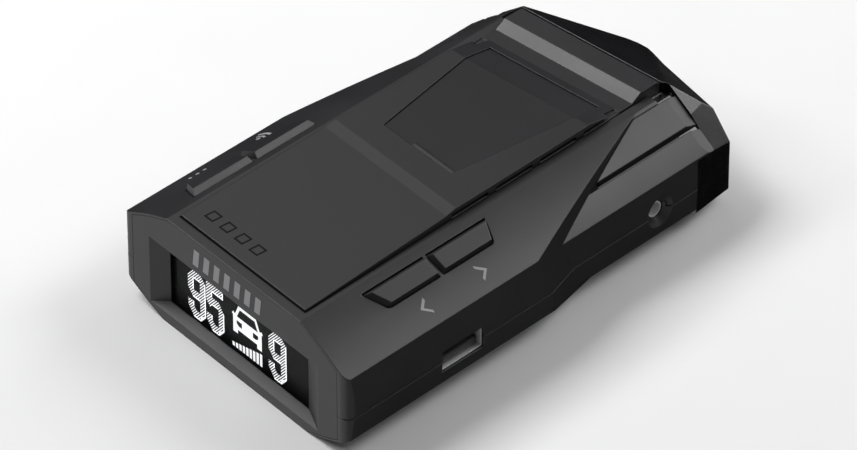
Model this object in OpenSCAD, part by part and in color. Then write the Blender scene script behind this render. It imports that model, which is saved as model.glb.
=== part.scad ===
// Car radar detector: a low wedge-shaped housing with a display facing the driver,
// a raised top cover, four side push buttons, a USB socket, a power jack and a nose
// that looks through the windscreen. All sizes in millimetres. The driver's end is
// at -Y, the nose at +Y, and the part lies on Z = 0.

/* [Housing] */
// Half width of the front housing at the corners of its side wall
front_half_w = 38.5; // [37:0.1:40]
// Half width of the rear housing, behind the ridges
rear_half_w = 35.9; // [35:0.1:36.4]
// Height of the flat top of the housing
body_h = 28.5; // [28:0.1:29]
// Height at which the front side wall ends and the sloping flank starts
wall_top_z = 21.5; // [21:0.1:22]
// Height at which the rear side wall ends
rear_wall_top_z = 18.9; // [18.5:0.1:19.3]
// Height at which the side wall starts above the bottom bevel
wall_low_z = 5.2; // [4.8:0.1:5.6]
// Half width of the flat top
top_half_w = 23.2; // [23:0.1:23.6]
// Half width of the flat bottom
bottom_half_w = 25.4; // [25:0.1:26]
// Radius of the slight outward curve of every flank
flank_r = 80; // [70:5:120]
// Wall thickness of the shells
wall = 1.8; // [1.6:0.1:2]
// Height of the seam between the shells
seam_z = 10.9; // [10.7:0.1:11.1]
// Where the rear side wall ends and the nose starts
housing_end_y = 113; // [112.8:0.1:113.2]

/* [Front] */
// Angle by which the display face is turned towards the driver
skew = 7.4; // [6:0.2:8]
// Radius of the upright corners beside the display face
corner_r = 2.4; // [2:0.1:2.8]
// Depth of the bezel plate
bezel_t = 2.7; // [2.7:0.05:2.8]
// Left, right, lower and upper edge of the window at the face
window_outer = [-30.1, 29.2, 2.5, 20];
// Left, right, lower and upper edge of the window at the bottom of its bevels
window_inner = [-25.9, 22.6, 3.4, 18.6];
// Depth of the window bevels
window_depth = 2.6; // [2.4:0.1:2.6]

/* [Top cover] */
// Height of the cover above the flat top at its front edge
cover_front_step = 0.5; // [0.4:0.1:0.7]
// Height of the raised deck above the flat top
deck_step = 2; // [1.8:0.1:2.2]
// Where the deck falls away towards the nose
deck_end_y = 94; // [92:0.5:95]
// Rear end of the cover
cover_end_y = 117.4; // [117:0.1:117.8]
// Depth of the recess for the mount seat
seat_depth = 0.3; // [0.3:0.1:0.5]

/* [Buttons] */
// Travel of each push button
button_travel = 0.45; // [0.3:0.05:0.45]
// Height of a button above the flank's chord
button_top = 1.6; // [1.5:0.1:1.8]
// Clearance around each button
button_gap = 0.25; // [0.2:0.05:0.3]

/* [Ports] */
// Centre of the USB socket along the side wall, from the driver's end
usb_y = 35.4; // [34:0.2:37]
// Centre of the power jack along the side wall, from the driver's end
jack_y = 100.8; // [100:0.1:101]
// Radius of the power jack's bore
jack_bore_r = 1.75; // [1.7:0.05:1.8]

/* [Hidden] */
$fn = 96;

face_y = front_half_w * tan(skew);        // the display face where X is 0
nose_tip_y = 134.4;
y_low = corner_r * (tan(skew) + 1 / cos(skew) - 1);
y_mid = (y_low + nose_tip_y) / 2;
flank_tilt = atan((body_h - wall_top_z) / (front_half_w - top_half_w));
big = 100;
fit = 0.1;                                // gap between parts that don't move

// Ridges at which the front flanks end
ridge_y = 59;
ridge_turn = 16.4;
ridge_lean = 9.7;
side_step = [38.94, 63.1];
side_step_turn = 15.2;

// Rear flanks
panel_t = 1.2;
panel_in_x = 24;
panel_slit_x = 30.7;
panel_slit = 1;
panel_end_y = 118.8;
panel_bevel = 3.1;
panel_low_z = 18.4;

// Top cover
cover_floor_z = body_h - 1;
cover_edge = 2.9;                         // cover's front edge, behind the face
cover_gap = 0.3;                          // groove round the cover
ramp_start = 46.1;
ramp_end = 49.2;
ramp_step = 1.5;
dip_start_y = 104.2;
dip_end_y = 108.2;
dip_step = 0.35;
rear_ledge_y = 111.1;
deck_z = body_h + deck_step;
vent_pitch = 14;
vent_l = 11.4;
vent_h = 0.9;

// Buttons, in the flank's own frame: s down the slope, Y along it
button_s = [2.5, 8];
button_split_y = 37.2;
button_half_gap = 0.7;
button_far_y = 18.8;                      // long edge, from the split
button_near_y = 16;                       // short edge, from the split
button_slope_gap = 0.45;                  // clearance along the upper side
board_drop = 7.3;                         // switch board under the flank's chord

// Boards and inner parts
board_top_z = 8;
board_t = 1.6;
case_screw_at = [[-17.5, 20.5], [17.5, 20.5], [-22, 108.4], [22, 108.4]];
board_screw_at = [[-24, 27], [20, 27], [-24, 97], [18, 97]];
speaker_y = 46;
speaker_r = 14;
jack_z = seam_z + 0.3;
usb_w = 12.6;
usb_h = 5.3;
usb_sheet = 0.25;
roof_z = cover_floor_z - wall;

// Moves a piece from the face's lengthwise scale to the part's centred frame
module centred() translate([0, -y_mid, 0]) children();

// Frame of the display face: x along the face, y into the housing
module at_face() translate([0, face_y, 0]) rotate([0, 0, -skew]) children();

// Frame of a front flank: x down the slope, y along the housing, z outwards
module on_flank(side) {
    if (side > 0) translate([top_half_w, 0, body_h]) rotate([0, flank_tilt, 0]) children();
    else mirror([1, 0, 0]) on_flank(1) children();
}

// Everything beyond a plane through p whose normal is turned about Z and leans up
module beyond(p, turn, lean, shift = 0) {
    translate(p) rotate([0, -lean, turn])
        translate([shift, -big, -big]) cube([big, 2 * big, 2 * big]);
}

// Points of a polygon with corner i rounded to radii[i]
function unit(v) = v / norm(v);
function corner_points(p, q, s, r) =
    let (a = unit(p - q), b = unit(s - q),
         half = acos(a * b) / 2,
         centre = q + unit(a + b) * r / sin(half),
         start = q + a * r / tan(half) - centre,
         end = q + b * r / tan(half) - centre,
         from = atan2(start[1], start[0]),
         raw = atan2(end[1], end[0]) - from,
         sweep = raw > 180 ? raw - 360 : (raw < -180 ? raw + 360 : raw))
    [for (k = [0:8]) centre + r * [cos(from + sweep * k / 8), sin(from + sweep * k / 8)]];
function rounded(points, radii) =
    let (n = len(points))
    [for (i = [0:n - 1])
        each radii[i] > 0
            ? corner_points(points[(i + n - 1) % n], points[i], points[(i + 1) % n], radii[i])
            : [points[i]]];

// Disc whose edge bows gently outwards from p to q, reduced by inset
module bowed(p, q, inset) {
    chord = q - p;
    out = unit([chord[1], -chord[0]]);
    reach = sqrt(pow(flank_r, 2) - pow(norm(chord) / 2, 2));
    translate((p + q) / 2 - out * reach) circle(r = flank_r - inset, $fn = 360);
}

// Half of a cross-section: bottom flat, bottom bevel, side wall, flank, flat top
module half_section(w, low_z, top_z, flat_w, bottom_w, inset) {
    intersection() {
        translate([-1, inset]) square([61, body_h - 2 * inset]);
        bowed([bottom_w, 0], [w, low_z], inset);
        bowed([w, low_z], [w, top_z], inset);
        bowed([w, top_z], [flat_w, body_h], inset);
    }
}
module section(w, top_z, inset) {
    for (side = [0, 1]) mirror([side, 0])
        half_section(w, wall_low_z, top_z, top_half_w, bottom_half_w, inset);
}
module front_section(inset) section(front_half_w, wall_top_z, inset);
module rear_section(inset) section(rear_half_w, rear_wall_top_z, inset);

// A cross-section drawn in X and Z, carried along Y
module along_y(y0, y1) translate([0, y1, 0]) rotate([90, 0, 0])
    linear_extrude(y1 - y0) children();

// Plan outline of the front end with its two rounded corners
module front_plan() {
    w = front_half_w + 0.25;
    far = w + 10;
    back = 140;
    translate([0, 0, -1]) linear_extrude(60) polygon(rounded(
        [[-w, face_y + w * tan(skew)], [w, face_y - w * tan(skew)], [far, back], [-far, back]],
        [corner_r, corner_r, 0, 0]));
}

// Front housing envelope, up to the ridges
module front_solid(inset) {
    difference() {
        along_y(-5, 106 - inset) front_section(inset);
        for (side = [0, 1]) mirror([side, 0, 0]) {
            beyond([front_half_w, ridge_y, wall_top_z], ridge_turn, ridge_lean, -inset);
            beyond([side_step[0], side_step[1], 0], side_step_turn, 0, -inset);
        }
    }
}
module rear_solid(inset, y0, y1) along_y(y0, y1) rear_section(inset);

module envelope() {
    intersection() {
        union() {
            front_solid(0);
            rear_solid(0, 30, housing_end_y);
        }
        front_plan();
    }
}
module cavity() {
    intersection() {
        union() {
            intersection() {
                front_solid(wall);
                at_face() translate([-big, bezel_t + 1, -1]) cube([2 * big, 2 * big, 60]);
            }
            rear_solid(wall, 30, housing_end_y + 1);
        }
        translate([-big, -big, 0]) cube([2 * big, 3 * big, roof_z]);
    }
}

// Pocket for the bezel at the display face
module bezel_outline(grow) {
    intersection() {
        translate([0, 0]) front_section(0.5 - grow);
        translate([-35.9 - grow, -1]) square([71.6 + 2 * grow, 40]);
    }
}
module bezel_block(grow, y0, y1) at_face() along_y(y0, y1) bezel_outline(grow);

// Plan outline of the top cover
module cover_plan(grow) {
    w = [21.7, 20.9, 20.6];
    polygon([[-w[0] - grow, -5], [w[0] + grow, -5], [w[1] + grow, 54], [w[2] + grow, cover_end_y],
             [-w[2] - grow, cover_end_y], [-w[1] - grow, 54]]);
}
module cover_prism(grow, z0, z1) {
    intersection() {
        translate([0, 0, z0]) linear_extrude(z1 - z0) cover_plan(grow);
        at_face() translate([-big, cover_edge - grow, 0]) cube([2 * big, 2 * big, 60]);
    }
}

// Band of material under the cover's top surface, from drop below it downwards
module cover_under_top(drop) {
    low = body_h - 10;
    at_face() translate([-big / 2, 0, 0]) rotate([90, 0, 90]) linear_extrude(big) polygon([
        [-5, low], [160, low], [160, deck_z - drop], [ramp_end, deck_z - drop],
        [ramp_start, body_h + ramp_step - drop], [cover_edge, body_h + cover_front_step - drop],
        [-5, body_h + cover_front_step - drop]]);
}
module cover_under_rear(drop) {
    low = body_h - 10;
    translate([-big / 2, 0, 0]) rotate([90, 0, 90]) linear_extrude(big) polygon([
        [-5, low], [160, low], [160, deck_z - drop - 0.7], [cover_end_y, deck_z - drop - 0.7],
        [cover_end_y - 1, deck_z - drop], [rear_ledge_y, deck_z - drop],
        [dip_end_y, body_h + dip_step - drop], [dip_start_y, body_h + dip_step - drop],
        [deck_end_y, deck_z - drop], [-5, deck_z - drop]]);
}

// Outline of the mount seat, widening towards the nose
seat_front = [11.6, 61.7];
seat_knee = [16.4, 94];
seat_rear = [16.4, 101.9];
module seat_prism(shrink) {
    intersection() {
        linear_extrude(60) polygon([
            [-seat_front[0] + shrink, seat_front[1] - 8], [seat_front[0] - shrink, seat_front[1] - 8],
            [seat_front[0] - shrink, seat_front[1]],
            [seat_knee[0] - shrink, seat_knee[1]], [seat_rear[0] - shrink, seat_rear[1] - shrink],
            [-seat_rear[0] + shrink, seat_rear[1] - shrink], [-seat_knee[0] + shrink, seat_knee[1]],
            [-seat_front[0] + shrink, seat_front[1]]]);
        at_face() translate([-big, (seat_front[1] - face_y) * cos(skew) + shrink, 0])
            cube([2 * big, big, 60]);
    }
}

// Skin of the right-hand rear flank between x0 and x1, in X and Z
module flank_skin(x0, x1, z0, t, grow = 0) {
    intersection() {
        difference() {
            rear_section(-grow);
            rear_section(t);
        }
        translate([x0, z0]) square([x1 - x0, 40]);
    }
}
// Slanted cut that bevels the rear end of the flank's skin
module flank_end_bevel() {
    slope = atan((body_h - rear_wall_top_z) / (rear_half_w - top_half_w));
    translate([rear_half_w, panel_end_y - panel_bevel, rear_wall_top_z])
        rotate([0, slope, 0]) rotate([-13, 0, 0])
        translate([-30, 0, 0.2]) cube([60, 20, 5]);
}
module rear_panel(side) {
    mirror([side > 0 ? 0 : 1, 0, 0]) difference() {
        along_y(55, panel_end_y)
            flank_skin(panel_in_x, panel_slit_x - panel_slit / 2, 15, panel_t);
        beyond_front_flank(fit);
        flank_end_bevel();
    }
}
// Space in front of a right-hand ridge, which the front flank takes up
module beyond_front_flank(gap) {
    difference() {
        translate([0, 30, 0]) cube([60, 90, 60]);
        beyond([front_half_w, ridge_y, wall_top_z], ridge_turn, ridge_lean, gap);
    }
}

// Nose envelope: a shallow V in plan under sloping facets
module nose_solid(inset) {
    i = inset;
    difference() {
        translate([0, 0, i]) linear_extrude(40) polygon([
            [-rear_half_w + i, 100], [rear_half_w - i, 100], [rear_half_w - i, housing_end_y],
            [34.3 - i, 125.6 - i], [27.3 - i, 126.6 - i], [9.6 - i / 2, 130.9 - i],
            [1.5, nose_tip_y - i], [-1.5, nose_tip_y - i], [-9.6 + i / 2, 130.9 - i],
            [-27.3 + i, 126.6 - i], [-34.3 + i, 125.6 - i], [-rear_half_w + i, housing_end_y]]);
        beyond([0, cover_end_y, deck_z - 0.3], 90, 62.5, -i);
        for (side = [0, 1]) mirror([side, 0, 0]) {
            beyond([20.4, cover_end_y, deck_z + 0.2], 74.9, 51.6, -i);
            beyond([20.4, cover_end_y, deck_z + 0.2], 18.8, 52.5, -i);
            beyond([rear_half_w, 116, 17.9], 17.8, 43.2, -i);
            beyond([bottom_half_w, housing_end_y, 0], 0, -68, -i);
        }
        beyond([0, 128, 0], 90, -35, -i);
    }
}

module case_hole(r, z0, z1) {
    for (p = case_screw_at) translate([p[0], p[1], z0]) cylinder(r = r, h = z1 - z0);
}
module board_hole(r, z0, z1) {
    for (p = board_screw_at) translate([p[0], p[1], z0]) cylinder(r = r, h = z1 - z0);
}

// Openings in the side wall for the two sockets
module port_cuts() {
    translate([20, usb_y - usb_w / 2 - 0.15, seam_z - usb_h / 2 - 0.15])
        cube([30, usb_w + 0.3, usb_h + 0.3]);
    translate([rear_half_w - 6, jack_y, jack_z]) rotate([0, 90, 0]) cylinder(r = 2.2, h = 10);
    translate([rear_half_w - 1.2, jack_y, jack_z]) rotate([0, 90, 0])
        cylinder(r1 = 2.2, r2 = 4.08, h = 1.5);
}

// Outline of one button cap, grown by g, and by up on its upper side
function cap_outline(g, up) = [
    [button_s[0] - up, button_half_gap - g], [button_s[1] + g, button_half_gap - g],
    [button_s[1] + g, button_near_y + g], [button_s[0] - up, button_far_y + g * 1.5]];

// Prism on that outline; end is 1 for the rear button of a pair
module cap_prism(end, g, up, z0, z1) {
    translate([0, button_split_y, z0]) mirror([0, end > 0 ? 0 : 1, 0]) linear_extrude(z1 - z0)
        polygon(rounded(cap_outline(g, up), [0, 0, 1.4, 0.3]));
}

// Cuts that lean the two ends of a cap inwards
module cap_end_cuts(end) {
    end_turn = atan((button_far_y - button_near_y) / (button_s[1] - button_s[0]));
    translate([0, button_split_y, 0.2]) mirror([0, end > 0 ? 0 : 1, 0]) {
        translate([button_s[0], button_far_y, 0]) rotate([0, 0, -end_turn]) rotate([26, 0, 0])
            translate([-5, 0, -2]) cube([20, 5, 8]);
        translate([0, button_half_gap, 0]) rotate([-17, 0, 0])
            translate([-5, -5, -2]) cube([20, 5, 8]);
    }
}
module button(side, end) {
    on_flank(side) {
        difference() {
            intersection() {
                cap_prism(end, 0, 0, -3, button_top);
                translate([0, 80, 0]) rotate([90, 0, 0]) linear_extrude(80) polygon([
                    [button_s[0], -3], [button_s[1], -3], [button_s[1], 0.3],
                    [button_s[1] - 0.45, button_top], [button_s[0] + 0.8, button_top],
                    [button_s[0], 0.1]]);
            }
            cap_end_cuts(end);
        }
        cap_prism(end, 0.6, 0.3, -3, -2.2);
        translate([5.4, button_split_y + end * 9, -4.5]) cylinder(r = 1.2, h = 1.7);
    }
}

module top_shell() color("dimgray") centred() {
    difference() {
        union() {
            intersection() {
                difference() {
                    envelope();
                    cavity();
                }
                translate([-big, -10, seam_z + fit]) cube([2 * big, 200, 50]);
            }
            for (p = case_screw_at) translate([p[0], p[1], seam_z - 0.8])
                cylinder(r = 2.7, h = roof_z - seam_z + 1);
            for (side = [-1, 1]) on_flank(side) for (y = [17, 59])
                translate([5.4, y, -board_drop]) cylinder(r = 1.3, h = board_drop - 1.2);
            for (side = [0, 1]) mirror([side, 0, 0]) difference() {
                along_y(housing_end_y - 0.1, panel_end_y)
                    flank_skin(panel_slit_x + panel_slit / 2, 60, panel_low_z, panel_t);
                flank_end_bevel();
            }
        }
        lip_groove();
        bezel_block(fit, -5, bezel_t + fit);
        bezel_inner();
        cover_prism(cover_gap, cover_floor_z, 60);
        for (side = [-1, 1]) on_flank(side) for (end = [-1, 1])
            cap_prism(end, button_gap, button_slope_gap, -3.4, 5);
        for (side = [0, 1]) mirror([side, 0, 0]) difference() {
            along_y(55, housing_end_y + 1)
                flank_skin(panel_in_x - fit, panel_slit_x + panel_slit / 2, 15, panel_t + fit, 1);
            beyond_front_flank(0);
        }
        port_cuts();
        case_hole(1.25, seam_z - 1, seam_z + 8);
        for (ring = [0:2], k = [0:max(0, ring * 6 - 1)])
            translate([ring * 3.6 * cos(k * 60 / max(ring, 1)),
                       speaker_y + ring * 3.6 * sin(k * 60 / max(ring, 1)), roof_z - 1])
                cylinder(r = 0.9, h = 4);
    }
}

// Step inside the seam edge of the upper shell that takes the lower shell's lip
module lip_groove() {
    intersection() {
        translate([-big, -10, seam_z]) cube([2 * big, housing_end_y - 2 + 10, 1.6]);
        difference() {
            union() {
                front_solid(0.85);
                rear_solid(0.85, 30, housing_end_y);
            }
            cavity();
        }
        at_face() translate([-34, bezel_t + 2, 0]) cube([68, 200, 60]);
    }
}

// Clear space inside the bezel's seat, so that the window and display pass through
module bezel_inner() {
    at_face() translate([-31.2, bezel_t - 1, wall]) cube([62.4, 3, 19.4]);
}

module bottom_shell() color("dimgray") centred() {
    difference() {
        union() {
            intersection() {
                difference() {
                    envelope();
                    cavity();
                }
                translate([-big, -10, 0]) cube([2 * big, 200, seam_z - fit]);
            }
            intersection() {
                difference() {
                    union() {
                        front_solid(1);
                        rear_solid(1, 30, housing_end_y);
                    }
                    cavity();
                }
                translate([-big, -10, seam_z - 1]) cube([2 * big, housing_end_y - 2.2 + 10, 2.4]);
                at_face() translate([-33.5, bezel_t + 2.3, 0]) cube([67, 200, 60]);
            }
            for (p = case_screw_at) translate([p[0], p[1], 0.5])
                cylinder(r = 2.7, h = seam_z - 1.5);
            for (p = board_screw_at) translate([p[0], p[1], 0.5])
                cylinder(r = 2.4, h = board_top_z - board_t - 0.5);
        }
        bezel_block(fit, -5, bezel_t + fit);
        bezel_inner();
        port_cuts();
        case_hole(1.35, -1, 12);
        case_hole(2.5, -1, 2.2);
        board_hole(1, 2.5, 7);
    }
}

module top_cover() color("dimgray") centred() {
    difference() {
        intersection() {
            cover_prism(0, cover_floor_z, 60);
            cover_under_top(0);
            cover_under_rear(0);
        }
        difference() {
            seat_prism(0);
            intersection() {
                cover_under_top(seat_depth + 0.8);
                cover_under_rear(seat_depth + 0.8);
            }
        }
        translate([-19.3, 42, cover_floor_z - 1]) cube([38.6, 61, 1.9]);
        for (k = [0:3], side = [-1, 1])
            translate([side > 0 ? 19 : -29, 50.5 + k * vent_pitch, body_h + 0.05])
                cube([10, vent_l, vent_h]);
        for (y = [70, 86]) translate([0, y, cover_floor_z]) cylinder(r = 6.1, h = 1.75);
    }
}

module mount_seat() color("black") centred() {
    difference() {
        intersection() {
            seat_prism(fit);
            cover_under_top(seat_depth);
            cover_under_rear(seat_depth);
        }
        intersection() {
            cover_under_top(seat_depth + 0.8);
            cover_under_rear(seat_depth + 0.8);
        }
    }
    intersection() {
        seat_prism(fit);
        at_face() translate([-9.6, (seat_front[1] - face_y) * cos(skew) + fit, 0])
            rotate([90, 0, 90]) linear_extrude(21) polygon([
                [0, deck_z - 1], [1.6, deck_z - 1], [1.6, deck_z - seat_depth],
                [0.9, deck_z - 0.05], [0, deck_z - 0.3]]);
    }
}

module seat_magnets() color("silver") centred() {
    for (y = [70, 86]) translate([0, y, cover_floor_z + 0.9]) cylinder(r = 6, h = 0.8);
}

module display_bezel() color("dimgray") centred() {
    difference() {
        bezel_block(0, 0, bezel_t);
        at_face() {
            o = window_outer;
            n = window_inner;
            intersection() {
                translate([0, 0, -5]) linear_extrude(60) polygon([
                    [o[0], -0.01], [o[1], -0.01], [n[1], window_depth], [n[1], 5],
                    [n[0], 5], [n[0], window_depth]]);
                translate([-60, 0, 0]) rotate([90, 0, 90]) linear_extrude(120) polygon([
                    [-0.01, o[2]], [window_depth, n[2]], [5, n[2]],
                    [5, n[3]], [window_depth, n[3]], [-0.01, o[3]]]);
            }
        }
    }
}

module display_window() color("darkslategray", 0.6) centred() at_face()
    translate([-30.5, bezel_t + 0.05, 2.2]) cube([60.5, 0.6, 18.2]);

module display_panel() color("black") centred() at_face()
    translate([-27.5, bezel_t + 0.75, 2.5]) cube([51.5, 1.5, 17.4]);

module display_holder() color("gray") centred() at_face() difference() {
    translate([-27.5, bezel_t + 2.3, 3.8]) cube([53, 1.5, 13]);
    translate([-6, bezel_t + 2, 3]) cube([12, 4, 3]);
}

// Flat ribbon from the display's foot back to the main board
module display_flex() color("orange") centred() at_face()
    translate([-5, 0, 0]) rotate([90, 0, 90]) linear_extrude(10) polygon([
        [bezel_t + 2.3, 4.6], [bezel_t + 7.2, 4.6], [bezel_t + 9, board_top_z],
        [bezel_t + 13, board_top_z], [bezel_t + 13, board_top_z + 0.2],
        [bezel_t + 8.9, board_top_z + 0.2], [bezel_t + 7.1, 4.8], [bezel_t + 2.3, 4.8]]);

module nose_cap() color([0.06, 0.06, 0.07]) centred() {
    difference() {
        union() {
            intersection() {
                nose_solid(0);
                translate([-big, housing_end_y + fit, 0]) cube([2 * big, 60, 60]);
            }
            intersection() {
                along_y(housing_end_y - 1.6, housing_end_y + 1) rear_section(wall + 0.15);
                translate([-big, 100, 0]) cube([2 * big, 20, roof_z - 0.15]);
            }
        }
        intersection() {
            nose_solid(2);
            rear_solid(3, 100, 140);
        }
        translate([-21.2, 100, cover_floor_z - 0.1]) cube([42.4, cover_end_y - 100 + fit, 20]);
        translate([-big, 100, body_h]) cube([2 * big, cover_end_y - 100 + fit, 20]);
        for (side = [0, 1]) mirror([side, 0, 0])
            along_y(100, panel_end_y + fit)
                flank_skin(panel_in_x - 3, 60, panel_low_z - fit, panel_t + fit, 3);
    }
}

module rear_panel_right() color("dimgray") centred() rear_panel(1);
module rear_panel_left() color("dimgray") centred() rear_panel(-1);

module button_prev() color("gray") centred() button(1, -1);
module button_next() color("gray") centred() button(1, 1);
module button_menu() color("gray") centred() button(-1, -1);
module button_volume() color("gray") centred() button(-1, 1);

module key_board(side) on_flank(side)
    translate([2.2, 15.6, -board_drop - 1]) cube([6.4, 45, 1]);
module key_board_right() color("darkgreen") centred() key_board(1);
module key_board_left() color("darkgreen") centred() key_board(-1);

module key_switches() color("silver") centred()
    for (side = [-1, 1], end = [-1, 1]) on_flank(side)
        translate([5.4, button_split_y + end * 9, -board_drop]) {
            translate([-2.2, -2.2, 0]) cube([4.4, 4.4, 1.6]);
            cylinder(r = 1, h = board_drop - 4.5 - button_travel - 0.1);
        }

module usb_frame() translate([front_half_w - 0.3, usb_y, seam_z]) children();
module usb_shell() color("silver") centred() usb_frame() difference() {
    translate([-14, -usb_w / 2, -usb_h / 2]) cube([14, usb_w, usb_h]);
    translate([-14 + usb_sheet, -usb_w / 2 + usb_sheet, -usb_h / 2 + usb_sheet])
        cube([20, usb_w - 2 * usb_sheet, usb_h - 2 * usb_sheet]);
}
module usb_tongue() color("white") centred() usb_frame()
    translate([-14 + usb_sheet, -5.55, -1.95]) cube([12.85, 11.1, 1.8]);
module usb_contacts() color("gold") centred() usb_frame()
    for (y = [-3.5, -1, 1, 3.5]) translate([-12.5, y - 0.5, -0.15]) cube([9.4, 1, 0.15]);

module jack_frame() translate([rear_half_w - 1.4, jack_y, jack_z]) rotate([0, 90, 0]) children();
module jack_body() color([0.1, 0.1, 0.1]) centred() difference() {
    union() {
        translate([rear_half_w - 10.5, jack_y - 4.3, board_top_z])
            cube([8.4, 8.6, jack_z - board_top_z + 3.2]);
        jack_frame() translate([0, 0, -1.5]) cylinder(r = 3, h = 1);
    }
    jack_frame() translate([0, 0, -9.3]) cylinder(r = 2.05, h = 12);
}
module jack_sleeve() color("silver") centred() jack_frame() difference() {
    translate([0, 0, -9]) cylinder(r = 2, h = 9);
    translate([0, 0, -8.2]) cylinder(r = jack_bore_r, h = 9);
}
module jack_spring() color("gold") centred()
    translate([rear_half_w - 12.2, jack_y - 1.5, board_top_z]) cube([1.6, 3, 5]);

module main_board() color("darkgreen") centred() difference() {
    translate([-30, 17.5, board_top_z - board_t]) cube([60, 88.5, board_t]);
    case_hole(3.2, 0, 20);
    board_hole(1.05, 0, 20);
}
module board_chips() color([0.08, 0.08, 0.08]) centred() {
    for (c = [[-16, 48, 12, 12, 1.2], [8, 44, 9, 9, 1], [-24, 40, 6, 8, 1.4], [-25, 80, 7, 5, 1.6],
              [22, 76, 6, 6, 1.1], [23, 88, 5, 4, 1.8]])
        translate([c[0], c[1], board_top_z]) cube([c[2], c[3], c[4]]);
}
module gps_antenna() color("tan") centred()
    translate([-9, 25, board_top_z]) cube([18, 18, 4]);

module speaker_frame() color("gray") centred() translate([0, speaker_y, roof_z]) difference() {
    translate([0, 0, -4.5]) cylinder(r = speaker_r, h = 4.5);
    translate([0, 0, -3.6]) cylinder(r = speaker_r - 1, h = 4);
    translate([0, 0, -6]) cylinder(r = 7.6, h = 4);
}
module speaker_cone() color("black") centred() translate([0, speaker_y, roof_z - 3.5])
    difference() {
        cylinder(r1 = 6, r2 = speaker_r - 1.1, h = 2.2);
        translate([0, 0, 0.4]) cylinder(r1 = 5.6, r2 = speaker_r - 1.4, h = 2.2);
    }
module speaker_magnet() color("silver") centred()
    translate([0, speaker_y, roof_z - 7.6]) cylinder(r = 7.5, h = 3.9);

// Horn that gathers the radar signal, open towards the nose
module horn_section(grow, z0, z1) translate([0, 0, z0]) linear_extrude(z1 - z0)
    polygon([[-6 + grow, 78 + grow], [6 - grow, 78 + grow], [16.5 - grow, 110 + grow * 3],
             [-16.5 + grow, 110 + grow * 3]]);
module horn_antenna() color("silver") centred() difference() {
    horn_section(0, board_top_z, board_top_z + 14);
    horn_section(1.2, board_top_z + 1.2, board_top_z + 12.8);
}
module microwave_module() color("silver") centred() {
    translate([-10, 65.5, board_top_z]) cube([20, 12.4, 11]);
    for (x = [-8, -4, 0, 4, 8]) translate([x - 0.5, 66.5, board_top_z + 10.9]) cube([1, 10, 1.1]);
}

module laser_sensor() color("darkgreen") centred()
    translate([-32.5, 100, board_top_z]) cube([8, 2, 10.5]);
module laser_lens() color("indigo") centred()
    translate([-28.5, 102.05, board_top_z + 5.5]) rotate([-90, 0, 0]) {
        cylinder(r = 4, h = 1.5);
        intersection() {
            translate([0, 0, -5.5]) sphere(r = 8.5);
            translate([0, 0, 1.4]) cylinder(r = 3.6, h = 5);
        }
    }

module case_screws() color("silver") centred() for (p = case_screw_at)
    translate([p[0], p[1], 0]) {
        difference() {
            translate([0, 0, 0.7]) cylinder(r = 2.2, h = 1.45);
            translate([0, 0, 0]) cylinder(r = 1, h = 1.5, $fn = 6);
        }
        translate([0, 0, 2]) cylinder(r = 1.2, h = 15);
    }
module board_screws() color("silver") centred() for (p = board_screw_at)
    translate([p[0], p[1], 0]) {
        difference() {
            translate([0, 0, board_top_z]) cylinder(r = 2, h = 1.3);
            translate([0, 0, board_top_z + 0.6]) cylinder(r = 0.9, h = 2, $fn = 6);
        }
        translate([0, 0, 3.2]) cylinder(r = 0.95, h = board_top_z - 3);
    }

top_shell();
bottom_shell();
top_cover();
mount_seat();
seat_magnets();
display_bezel();
display_window();
display_panel();
display_holder();
display_flex();
nose_cap();
rear_panel_right();
rear_panel_left();
button_prev();
button_next();
button_menu();
button_volume();
key_board_right();
key_board_left();
key_switches();
usb_shell();
usb_tongue();
usb_contacts();
jack_body();
jack_sleeve();
jack_spring();
main_board();
board_chips();
gps_antenna();
speaker_frame();
speaker_cone();
speaker_magnet();
horn_antenna();
microwave_module();
laser_lens();
laser_sensor();
case_screws();
board_screws();
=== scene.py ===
import math

import bmesh
import bpy
from mathutils import Matrix, Vector


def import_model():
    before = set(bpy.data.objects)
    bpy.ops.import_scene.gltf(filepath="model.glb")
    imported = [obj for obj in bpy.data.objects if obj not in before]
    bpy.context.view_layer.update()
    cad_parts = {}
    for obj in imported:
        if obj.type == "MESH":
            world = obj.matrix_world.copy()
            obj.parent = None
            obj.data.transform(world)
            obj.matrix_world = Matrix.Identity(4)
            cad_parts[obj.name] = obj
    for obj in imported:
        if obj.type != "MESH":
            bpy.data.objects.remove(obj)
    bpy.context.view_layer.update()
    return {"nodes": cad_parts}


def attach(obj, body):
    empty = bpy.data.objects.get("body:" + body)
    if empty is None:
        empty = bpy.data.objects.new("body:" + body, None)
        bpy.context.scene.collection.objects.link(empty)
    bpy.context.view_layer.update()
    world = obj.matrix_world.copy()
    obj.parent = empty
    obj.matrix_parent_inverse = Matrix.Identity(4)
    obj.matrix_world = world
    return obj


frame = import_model()
nodes = frame["nodes"]
scene = bpy.context.scene
scene.view_settings.view_transform = "Standard"
MM = 0.001


# ---------------------------------------------------------------- camera
def camera():
    data = bpy.data.cameras.new("photo_camera")
    data.sensor_width = 36
    data.lens = 290.4
    data.clip_start = 0.05
    data.clip_end = 20
    obj = bpy.data.objects.new("photo_camera", data)
    scene.collection.objects.link(obj)
    forward = Vector((-0.5566, 0.5799, -0.5951)).normalized()
    up = Vector((-0.4121, 0.4293, 0.8036))
    right = forward.cross(up).normalized()
    up = right.cross(forward).normalized()
    obj.matrix_world = Matrix.Translation((0.8443, -0.8819, 0.9109)) @ Matrix((
        (right.x, up.x, -forward.x), (right.y, up.y, -forward.y),
        (right.z, up.z, -forward.z))).to_4x4()
    scene.camera = obj


camera()


# ---------------------------------------------------------------- light and floor
LIGHT_DISTANCE = 1.0
SOFT_BOX = 0.5


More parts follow.
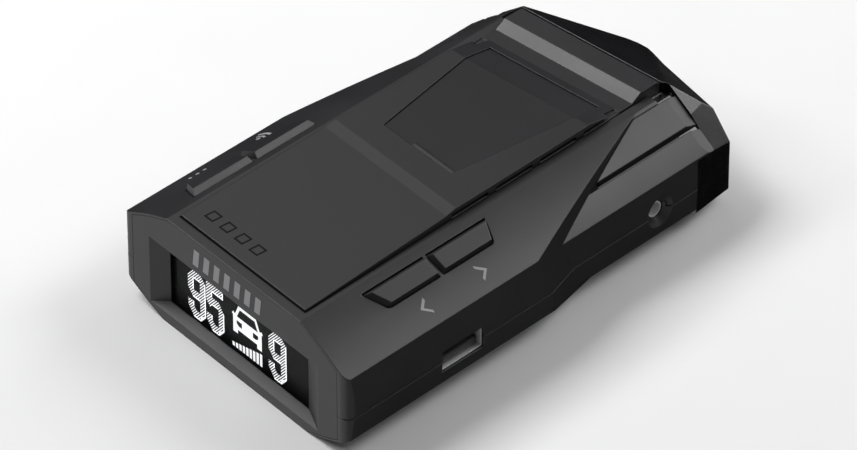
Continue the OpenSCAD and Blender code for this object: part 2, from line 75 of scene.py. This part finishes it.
def area_light(name, direction, radiance, size=SOFT_BOX):
    """A square soft box of that radiance, facing the object from that direction."""
    data = bpy.data.lights.new(name, "AREA")
    data.shape = "SQUARE"
    data.size = size
    data.energy = radiance * math.pi * size * size
    obj = bpy.data.objects.new(name, data)
    scene.collection.objects.link(obj)
    place = Vector(direction).normalized() * LIGHT_DISTANCE
    aim = -place.normalized()
    obj.matrix_world = (Matrix.Translation(place)
                        @ aim.to_track_quat("-Z", "Y").to_matrix().to_4x4())


def world(lobes):
    """Soft light that comes from a few directions, each (direction, low, high, strength)."""
    w = bpy.data.worlds.new("studio")
    scene.world = w
    w.use_nodes = True
    tree = w.node_tree
    background = tree.nodes["Background"]
    coords = tree.nodes.new("ShaderNodeTexCoord")
    total = None
    for direction, low, high, strength in lobes:
        dot = tree.nodes.new("ShaderNodeVectorMath")
        dot.operation = "DOT_PRODUCT"
        tree.links.new(coords.outputs["Generated"], dot.inputs[0])
        dot.inputs[1].default_value = Vector(direction).normalized()
        ramp = tree.nodes.new("ShaderNodeMapRange")
        ramp.interpolation_type = "SMOOTHSTEP"
        ramp.inputs["From Min"].default_value = low
        ramp.inputs["From Max"].default_value = high
        ramp.inputs["To Max"].default_value = strength
        tree.links.new(dot.outputs["Value"], ramp.inputs["Value"])
        value = ramp.outputs["Result"]
        if total is not None:
            add = tree.nodes.new("ShaderNodeMath")
            tree.links.new(total, add.inputs[0])
            tree.links.new(value, add.inputs[1])
            value = add.outputs[0]
        total = value
    tree.links.new(total, background.inputs["Strength"])
    background.inputs["Color"].default_value = (1, 1, 1, 1)


world([
    ((-0.56, -0.58, -0.6), 0.3, 0.9, 0.8),
    ((0.7, -0.5, -0.5), 0.3, 0.9, 0.22),
    ((0.9, -0.1, -0.3), 0.66, 0.97, 0.15),
    ((0, 0, 1), -0.2, 1.0, 0.06),
])
area_light("front_high", (-0.557, -0.216, 0.80), 9.0)
area_light("left_high", (-0.584, 0.369, 0.722), 1.05)
area_light("back_high", (0.086, 0.58, 0.81), 0.4)
area_light("right_back", (0.42, 0.58, 0.70), 4.8)
area_light("back", (0, 0.95, 0.25), 4.0)
area_light("edge", (-0.557, -0.58, 0.57), 12.0, size=0.2)


# ---------------------------------------------------------------- shader nodes
class Shader:
    """A material with one Principled shader and helpers to wire its nodes."""

    def __init__(self, name):
        self.mat = bpy.data.materials.new(name)
        self.mat.use_nodes = True
        self.tree = self.mat.node_tree
        self.bsdf = self.tree.nodes["Principled BSDF"]
        self.coords = self.node("ShaderNodeTexCoord").outputs["Object"]

    def node(self, kind, **values):
        made = self.tree.nodes.new(kind)
        for key, value in values.items():
            if key in made.inputs.keys():
                self.put(made.inputs[key], value)
            else:
                setattr(made, key, value)
        return made

    def put(self, socket, value):
        if isinstance(value, bpy.types.NodeSocket):
            self.tree.links.new(value, socket)
        else:
            socket.default_value = value

    def set(self, name, value):
        self.put(self.bsdf.inputs[name], value)

    def noise(self, scale, detail=2.0, rough=0.5, where=None):
        made = self.node("ShaderNodeTexNoise", Scale=scale, Detail=detail, Roughness=rough)
        self.put(made.inputs["Vector"], where or self.coords)
        return made.outputs["Fac"]

    def maths(self, op, a, b):
        made = self.node("ShaderNodeMath", operation=op)
        for socket, value in zip(made.inputs, (a, b)):
            self.put(socket, value)
        return made.outputs[0]

    def ramp(self, value, low, high, to_low=0.0, to_high=1.0):
        made = self.node("ShaderNodeMapRange", clamp=True)
        for key, item in (("Value", value), ("From Min", low), ("From Max", high),
                          ("To Min", to_low), ("To Max", to_high)):
            self.put(made.inputs[key], item)
        return made.outputs["Result"]

    def mix(self, factor, a, b):
        made = self.node("ShaderNodeMix", data_type="RGBA")
        colours = [s for s in made.inputs if s.type == "RGBA"]
        self.put(made.inputs[0], factor)
        for socket, value in zip(colours, (a, b)):
            if not isinstance(value, bpy.types.NodeSocket):
                value = (*value[:3], 1)
            self.put(socket, value)
        return [s for s in made.outputs if s.type == "RGBA"][0]

    def bump(self, height, strength, distance, edge=0.0):
        made = self.node("ShaderNodeBump", Strength=strength, Distance=distance)
        self.put(made.inputs["Height"], height)
        if edge:
            rounding = self.node("ShaderNodeBevel", samples=6, Radius=edge)
            self.put(made.inputs["Normal"], rounding.outputs["Normal"])
        self.set("Normal", made.outputs["Normal"])


def shade(colour, k):
    return tuple(min(1.0, c * k) for c in colour[:3])


def moulded(name, colour, rough=0.42, grain=0.00022, bump=0.12, level=0.5, edge=0.0003):
    """Moulded plastic: fine spark-eroded grain, faint flow and roughness variation."""
    s = Shader(name)
    flow = s.noise(38, 3, 0.55)
    speckle = s.noise(1 / grain, 2, 0.6)
    pores = s.noise(0.35 / grain, 1, 0.5)
    s.set("Base Color", s.mix(s.ramp(flow, 0.35, 0.65), shade(colour, 0.88), shade(colour, 1.12)))
    s.set("Roughness", s.maths("ADD", s.ramp(flow, 0.3, 0.7, rough - 0.03, rough + 0.03),
                               s.ramp(speckle, 0.35, 0.65, -0.03, 0.03)))
    s.set("Specular IOR Level", level)
    s.bump(s.maths("ADD", speckle, s.maths("MULTIPLY", pores, 0.6)), bump, grain * 0.25, edge)
    return s


# ---------------------------------------------------------------- finishes
shell = moulded("housing_plastic", (0.016, 0.016, 0.0175))
cover_mat = moulded("cover_plastic", (0.013, 0.013, 0.0145), rough=0.4, bump=0.08)
seat_mat = moulded("seat_plastic", (0.011, 0.011, 0.0125), rough=0.5, grain=0.0003, bump=0.2,
                   level=0.4)
bezel_mat = moulded("bezel_plastic", (0.018, 0.018, 0.0195), rough=0.45, bump=0.08)
button_mat = moulded("button_plastic", (0.016, 0.016, 0.0175), rough=0.4, bump=0.06,
                     level=0.46)
nose_mat = moulded("nose_plastic", (0.004, 0.004, 0.005), rough=0.27, grain=0.00006, bump=0.002,
                   level=0.75)


def metal(name, colour, rough, line=0.00004, bump=0.05, metallic=1.0):
    s = Shader(name)
    stretch = s.node("ShaderNodeMapping")
    s.put(stretch.inputs["Vector"], s.coords)
    stretch.inputs["Scale"].default_value = (1, 0.06, 1)
    lines = s.noise(1 / line, 2, 0.6, stretch.outputs["Vector"])
    s.set("Base Color", s.mix(lines, shade(colour, 0.9), shade(colour, 1.06)))
    s.set("Metallic", metallic)
    s.set("Roughness", s.ramp(lines, 0.3, 0.7, rough - 0.05, rough + 0.05))
    s.bump(lines, bump, line * 0.3, 0.00006)
    return s


nickel = metal("nickel_plate", (0.93, 0.93, 0.94), 0.45, metallic=0.7)
steel = metal("blackened_steel", (0.2, 0.2, 0.21), 0.35)
tin = metal("tinned_steel", (0.6, 0.6, 0.58), 0.4)
gold = metal("contact_gold", (0.9, 0.68, 0.32), 0.3)
board = moulded("solder_mask", (0.01, 0.09, 0.035), rough=0.3, grain=0.0006, bump=0.05)
chip_mat = moulded("chip_epoxy", (0.02, 0.02, 0.022), rough=0.5)
ceramic = moulded("patch_ceramic", (0.5, 0.4, 0.28), rough=0.6)
dark_plastic = moulded("socket_insulator", (0.03, 0.03, 0.032), rough=0.45, level=0.3)
film = moulded("amber_film", (0.45, 0.2, 0.03), rough=0.25)
lens_mat = moulded("infrared_lens", (0.05, 0.006, 0.03), rough=0.15, bump=0.01)


def display_glass():
    s = Shader("display_glass")
    fine = s.noise(900, 2)
    s.set("Base Color", s.mix(fine, (0.006, 0.006, 0.007), (0.009, 0.009, 0.010)))
    s.set("Roughness", s.ramp(fine, 0.3, 0.7, 0.3, 0.36))
    s.set("Specular IOR Level", 0.15)
    return s


def window_glass():
    s = Shader("window_glass")
    fine = s.noise(300, 2)
    s.set("Base Color", s.mix(fine, (0.006, 0.006, 0.007), (0.009, 0.009, 0.010)))
    s.set("Roughness", s.ramp(fine, 0.3, 0.7, 0.26, 0.32))
    s.set("Specular IOR Level", 0.05)
    s.set("Alpha", 0.15)
    return s


display_mat = display_glass()
window_mat = window_glass()

FINISH = {
    "top_shell": shell, "bottom_shell": shell, "top_cover": cover_mat, "mount_seat": seat_mat,
    "seat_magnets": nickel, "display_bezel": bezel_mat, "display_window": window_mat,
    "display_panel": display_mat, "display_holder": dark_plastic, "display_flex": film,
    "nose_cap": nose_mat, "rear_panel_right": shell, "rear_panel_left": shell,
    "button_prev": button_mat, "button_next": button_mat, "button_menu": button_mat,
    "button_volume": button_mat, "key_board_right": board, "key_board_left": board,
    "key_switches": tin, "usb_shell": nickel, "usb_tongue": dark_plastic, "usb_contacts": gold,
    "jack_body": dark_plastic, "jack_sleeve": nickel, "jack_spring": gold, "main_board": board,
    "board_chips": chip_mat, "gps_antenna": ceramic, "speaker_frame": steel,
    "speaker_cone": chip_mat, "speaker_magnet": tin, "horn_antenna": tin,
    "microwave_module": tin, "laser_lens": lens_mat, "laser_sensor": board,
    "case_screws": steel, "board_screws": steel,
}
for name, obj in nodes.items():
    obj.data.materials.clear()
    obj.data.materials.append(FINISH[name].mat)


# ---------------------------------------------------------------- floor
FLOOR_HALF = 3.0


def floor():
    mesh = bpy.data.meshes.new("floor")
    r = FLOOR_HALF
    mesh.from_pydata([(-r, -r, 0), (r, -r, 0), (r, r, 0), (-r, r, 0)], [], [(0, 1, 2, 3)])
    obj = bpy.data.objects.new("floor", mesh)
    scene.collection.objects.link(obj)
    s = Shader("studio_floor")
    fine = s.noise(30, 2)
    s.set("Base Color", s.mix(fine, (0.84, 0.84, 0.84), (0.87, 0.87, 0.87)))
    s.set("Roughness", 0.9)
    s.set("Specular IOR Level", 0.1)
    mesh.materials.append(s.mat)
    obj.visible_glossy = False


floor()

# ---------------------------------------------------------------- pieces
# Sizes of the CAD model that the prints follow, in millimetres
FRONT_HALF_W = 38.5
TOP_HALF_W = 23.2
BODY_H = 28.5
WALL_TOP = 21.5
FLANK_R = 80.0
SKEW = math.radians(7.4)
FACE_Y = FRONT_HALF_W * math.tan(SKEW)
CORNER_R = 2.4
Y_LOW = CORNER_R * (math.tan(SKEW) + 1 / math.cos(SKEW) - 1)
NOSE_TIP_Y = 134.4
Y_MID = (Y_LOW + NOSE_TIP_Y) / 2


def face_point(x, z, depth):
    """A point on the display face's own axes, in metres in the row frame."""
    c, s = math.cos(SKEW), math.sin(SKEW)
    return ((x * c + depth * s) * MM, (FACE_Y - x * s + depth * c - Y_MID) * MM, z * MM)


def flank_point(side, s, y, height):
    """A point s down a front flank from the top's edge, height above its curved skin."""
    tilt = math.atan2(BODY_H - WALL_TOP, FRONT_HALF_W - TOP_HALF_W)
    length = math.hypot(BODY_H - WALL_TOP, FRONT_HALF_W - TOP_HALF_W)
    bulge = (math.sqrt(FLANK_R ** 2 - (s - length / 2) ** 2)
             - math.sqrt(FLANK_R ** 2 - (length / 2) ** 2))
    up = bulge + height
    x = TOP_HALF_W + s * math.cos(tilt) + up * math.sin(tilt)
    z = BODY_H - s * math.sin(tilt) + up * math.cos(tilt)
    return (side * x * MM, (y - Y_MID) * MM, z * MM)


def slab(name, outlines, place, thick, material, body):
    """Thin raised print or cut-out film: outlines are closed loops of (u, v) points."""
    verts, faces = [], []
    for loop in outlines:
        n = len(loop)
        base = len(verts)
        verts += [place(u, v, 0.0) for u, v in loop]
        verts += [place(u, v, thick) for u, v in loop]
        faces.append([base + i for i in range(n)][::-1])
        faces.append([base + n + i for i in range(n)])
        for i in range(n):
            j = (i + 1) % n
            faces.append([base + i, base + j, base + n + j, base + n + i])
    mesh = bpy.data.meshes.new(name)
    mesh.from_pydata(verts, [], faces)
    mesh.validate()
    bm = bmesh.new()
    bm.from_mesh(mesh)
    bmesh.ops.recalc_face_normals(bm, faces=bm.faces)
    bm.to_mesh(mesh)
    bm.free()
    obj = bpy.data.objects.new(name, mesh)
    scene.collection.objects.link(obj)
    mesh.materials.append(material.mat)
    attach(obj, body)
    return obj


def stroke(points, width):
    """Quads, one per segment of a polyline, with mitred joints."""
    half = width / 2
    normals = []
    for (x0, y0), (x1, y1) in zip(points, points[1:]):
        d = math.hypot(x1 - x0, y1 - y0)
        normals.append(((y0 - y1) / d, (x1 - x0) / d))
    sides = []
    for i, (x, y) in enumerate(points):
        a = normals[max(i - 1, 0)]
        b = normals[min(i, len(normals) - 1)]
        m = (a[0] + b[0], a[1] + b[1])
        k = half * 2 / (m[0] ** 2 + m[1] ** 2)
        sides.append(((x + m[0] * k, y + m[1] * k), (x - m[0] * k, y - m[1] * k)))
    return [[sides[i][0], sides[i + 1][0], sides[i + 1][1], sides[i][1]]
            for i in range(len(points) - 1)]


# Matte ink for real print, also used for the painted shade round the cover's squares
def print_and_shade_ink(name, colour, level=0.5):
    s = Shader(name)
    fine = s.noise(2500, 2)
    s.set("Base Color", s.mix(fine, shade(colour, 0.92), shade(colour, 1.05)))
    s.set("Roughness", s.ramp(fine, 0.3, 0.7, 0.5, 0.6))
    s.set("Specular IOR Level", level)
    s.bump(fine, 0.1, 0.00002)
    return s


def pixel_light():
    s = Shader("lit_pixels")
    fine = s.noise(4000, 1)
    colour = s.mix(fine, (0.9, 0.93, 0.95), (1, 1, 1))
    s.set("Base Color", colour)
    s.set("Emission Color", colour)
    s.set("Emission Strength", 1.0)
    s.set("Roughness", 0.6)
    return s


icon_ink = print_and_shade_ink("icon_ink", (0.30, 0.30, 0.31))
mark_ink = print_and_shade_ink("mark_ink", (0.25, 0.25, 0.26))
# Painted shade: near-black, barely reflective ink that stands in for the shadow in the cover's
# square grooves
painted_groove_shade = print_and_shade_ink("painted_groove_shade", (0.004, 0.004, 0.0045), level=0.12)
lit = pixel_light()

# Thickness of a print, its gap to the surface, and the display glass's depth in the face
PRINT_T = 0.03
PRINT_GAP = 0.01
DISPLAY_DEPTH = 3.44


def flank_piece(name, side, loops):
    """Print on a front flank, outlines in the flank's own s and Y."""
    return slab(name, loops, lambda u, v, h: flank_point(side, u, v, h + PRINT_GAP), PRINT_T,
                icon_ink, "housing")


def disc(u, v, r, n=16):
    """Outline of a dot."""
    return [(u + r * math.cos(2 * math.pi * k / n), v + r * math.sin(2 * math.pi * k / n))
            for k in range(n)]


def arc(u, v, r, a0, a1, n=10):
    """Points along an arc between two angles in degrees."""
    return [(u + r * math.cos(math.radians(a0 + (a1 - a0) * k / n)),
             v + r * math.sin(math.radians(a0 + (a1 - a0) * k / n))) for k in range(n + 1)]


def arrow(y, way):
    """Arrow head pointing along the housing, with ends cut square to it."""
    return [[(10.0, y + 2.5 * way), (12.13, y), (12.18, y + 0.96 * way), (10.8, y + 2.55 * way)],
            [(12.13, y), (14.27, y + 2.45 * way), (13.5, y + 2.5 * way), (12.18, y + 0.96 * way)]]


flank_piece("arrow_prev", 1, arrow(26.85, 1))
flank_piece("arrow_next", 1, arrow(47.3, -1))
flank_piece("menu_dots", -1, [disc(12.85, y, 0.47) for y in (26.7, 28.9, 31.1)])
flank_piece("volume_arcs", -1, [disc(12.1, 46.95, 0.55)]
            + stroke(arc(12.2, 46.3, 2.0, 45, 135), 0.6)
            + stroke(arc(12.2, 46.3, 3.5, 50, 130), 0.8))


# ---------------------------------------------------------------- display graphics
def clip(loop, nx, ny, limit):
    """Part of a convex loop where x * nx + y * ny is below the limit."""
    kept = []
    for (x0, y0), (x1, y1) in zip(loop, loop[1:] + loop[:1]):
        d0, d1 = x0 * nx + y0 * ny - limit, x1 * nx + y1 * ny - limit
        if d0 <= 0:
            kept.append((x0, y0))
        if d0 * d1 < 0:
            t = d0 / (d0 - d1)
            kept.append((x0 + (x1 - x0) * t, y0 + (y1 - y0) * t))
    return kept


def area(loop):
    """Area inside a loop."""
    return abs(sum(x0 * y1 - x1 * y0 for (x0, y0), (x1, y1)
                   in zip(loop, loop[1:] + loop[:1]))) / 2


def hatched(loop, pitch, duty, angle):
    """Convex loop filled with slanted lines."""
    nx, ny = -math.sin(angle), math.cos(angle)
    reach = [x * nx + y * ny for x, y in loop]
    lines = []
    for k in range(math.floor(min(reach) / pitch), math.ceil(max(reach) / pitch) + 1):
        line = clip(clip(loop, nx, ny, (k + duty) * pitch), -nx, -ny, -k * pitch)
        if len(line) > 2 and area(line) > 0.02:
            lines.append(line)
    return lines


# Strokes of a digit in a cell 6.2 wide and 12.4 high: hatched pieces, then solid ones
DIGIT_FOOT = [
    [(2.1, 0), (4.3, 0), (4.3, 2), (2.9, 2)],
    [(0, 2.4), (2.1, 0), (2.9, 2), (2, 2.9)],
    [(0, 2.4), (2, 2.9), (2, 4.1), (0, 4.1)],
]
DIGIT_FOOT_SOLID = [
    [(4.3, 0), (4.5, 0), (6.2, 1.9), (6.2, 2), (4.3, 1.2)],
    [(1.85, 0.28), (2.1, 0), (4.3, 0), (4.3, 0.28)],
    [(1.72, 2.9), (2, 2.9), (2, 4.1), (1.72, 4.1)],
]
DIGITS = {
    "9": (DIGIT_FOOT + [
        [(0, 7.3), (2, 7.3), (2, 10.4), (0, 10.4)],
        [(0, 10.4), (2, 10.4), (2, 12.4), (1.8, 12.4)],
        [(2, 10.4), (4.3, 10.4), (4.3, 12.4), (2, 12.4)],
        [(4.3, 10.4), (6.2, 10.4), (6.2, 10.9), (4.5, 12.4), (4.3, 12.4)],
        [(4.3, 1.2), (6.2, 2), (6.2, 10.4), (4.3, 10.4)],
        [(0, 7.3), (1.8, 5.3), (2, 5.3), (2, 7.3)],
        [(2, 5.3), (4.3, 5.3), (4.3, 7.3), (2, 7.3)],
    ], DIGIT_FOOT_SOLID + [
        [(5.92, 1.9), (6.2, 2), (6.2, 10.6), (5.92, 10.9)],
        [(1.72, 7.4), (2, 7.4), (2, 10.4), (1.72, 10.4)],
        [(2, 10.4), (4.3, 10.4), (4.3, 10.68), (2, 10.68)],
        [(1.6, 5.55), (1.8, 5.3), (4.3, 5.3), (4.3, 5.58)],
    ]),
    "5": (DIGIT_FOOT + [
        [(0, 10.4), (5.9, 10.4), (5.9, 12.0), (5.5, 12.4), (0, 12.4)],
        [(0, 7.4), (2, 6.9), (2, 10.4), (0, 10.4)],
        [(0, 7.4), (1.5, 6.0), (2, 6.9)],
        [(2, 6.9), (4.2, 6.9), (4.4, 8.9), (2, 8.9)],
        [(4.2, 6.9), (6.2, 6.5), (4.4, 8.9)],
        [(4.3, 1.2), (6.2, 2), (6.2, 6.5), (4.3, 6.9)],
    ], DIGIT_FOOT_SOLID + [
        [(5.92, 1.9), (6.2, 2), (6.2, 6.5), (5.92, 6.9)],
        [(1.72, 8.9), (2, 8.9), (2, 10.4), (1.72, 10.4)],
        [(2, 10.4), (5.9, 10.4), (5.9, 10.68), (2, 10.68)],
        [(5.62, 10.6), (5.9, 10.4), (5.9, 12.0), (5.62, 12.3)],
        [(2, 6.9), (4.2, 6.9), (4.2, 7.18), (2, 7.18)],
    ]),
}
DIGIT_Z = 3.25
HATCH_PITCH = 0.52
HATCH_DUTY = 0.5
HATCH_ANGLE = math.radians(48)


def on_display(x, z, h):
    """A point h in front of the display glass."""
    return face_point(x, z, DISPLAY_DEPTH - h)


def digit(name, figure, x):
    """One lit figure, its left edge at x along the face."""
    strokes, solid = DIGITS[figure]
    lines = [line for loop in strokes
             for line in hatched(loop, HATCH_PITCH, HATCH_DUTY, HATCH_ANGLE)]
    loops = [[(x + u, DIGIT_Z + v) for u, v in loop] for loop in lines + solid]
    return slab(name, loops, on_display, PRINT_T, lit, "housing")


def box(x0, x1, z0, z1):
    """Outline of an upright rectangle."""
    return [(x0, z0), (x1, z0), (x1, z1), (x0, z1)]


digit("lit_digit_left", "9", -20.85)
digit("lit_digit_middle", "5", -14.3)
digit("lit_digit_right", "9", 7.6)

CAR_X = 0.2
car_half = [
    [(-4.5, 12.3), (-3.7, 12.3), (-2.6, 14.6), (-3.1, 15.4)],
    [(-5.4, 12.4), (-4.6, 12.1), (-4.3, 12.7), (-5.0, 13.1)],
    box(-5.0, -3.8, 8.9, 12.3), box(-1.9, 0, 9.9, 11.3), box(-3.8, 0, 11.3, 12.3),
    [(-3.8, 8.9), (0, 8.9), (0, 9.9), (-3.0, 9.9), (-3.8, 10.4)],
    box(-5.0, -3.4, 7.85, 8.9), [(-3.1, 15.4), (-2.6, 14.6), (0, 14.6), (0, 15.4)],
]
slab("lit_car", [[(CAR_X + way * u, v) for u, v in loop] for loop in car_half for way in (1, -1)],
     on_display, PRINT_T, lit, "housing")
slab("lit_bars", [box(-5.2 + 1.21 * k, -4.4 + 1.21 * k, 3.75, 4.75 + 0.28 * k)
                  for k in range(9)], on_display, PRINT_T, lit, "housing")

# Plain bars printed above the window, and painted shade round plain squares let into the cover:
# near-black frames laid on the cover stand in for the shadow in their grooves
slab("bezel_bars", [[(x, 21.65), (x + 1.9, 21.65), (x + 2.5, 25.9), (x + 0.6, 25.9)]
                    for x in [-14.3 + 3.6 * k for k in range(7)]],
     lambda x, z, h: face_point(x, z, -PRINT_GAP - h), PRINT_T, mark_ink, "housing")


# The cover's ramp: where it starts and ends behind the face, its first height and its rise
RAMP = (2.9, 46.1)
RAMP_STEP = 0.5
RAMP_RISE = 1.0
# Thickness of the painted-shade film round the cover's squares
GROOVE_SHADE_T = 0.02


def on_cover(x, depth, h):
    """A point h above the cover's ramp, on the display face's axes."""
    cx, cy, _ = face_point(x, 0, depth)
    rise = RAMP_RISE * (depth - RAMP[0]) / (RAMP[1] - RAMP[0])
    return (cx, cy, (BODY_H + RAMP_STEP + rise + PRINT_GAP + h) * MM)


def frame_loops(x, d, w, t):
    """Four mitred strokes round a square."""
    outer = [(x, d), (x + w, d), (x + w, d + w), (x, d + w)]
    inner = [(x + t, d + t), (x + w - t, d + t), (x + w - t, d + w - t), (x + t, d + w - t)]
    return [[outer[k], outer[(k + 1) % 4], inner[(k + 1) % 4], inner[k]] for k in range(4)]


# Painted shade: near-black frames laid on the cover where its square grooves would be in shadow
slab("cover_squares", [loop for k in range(4)
                       for loop in frame_loops(-18.6 + 5.2 * k, 6.4, 3.0, 0.45)],
     on_cover, GROOVE_SHADE_T, painted_groove_shade, "housing")
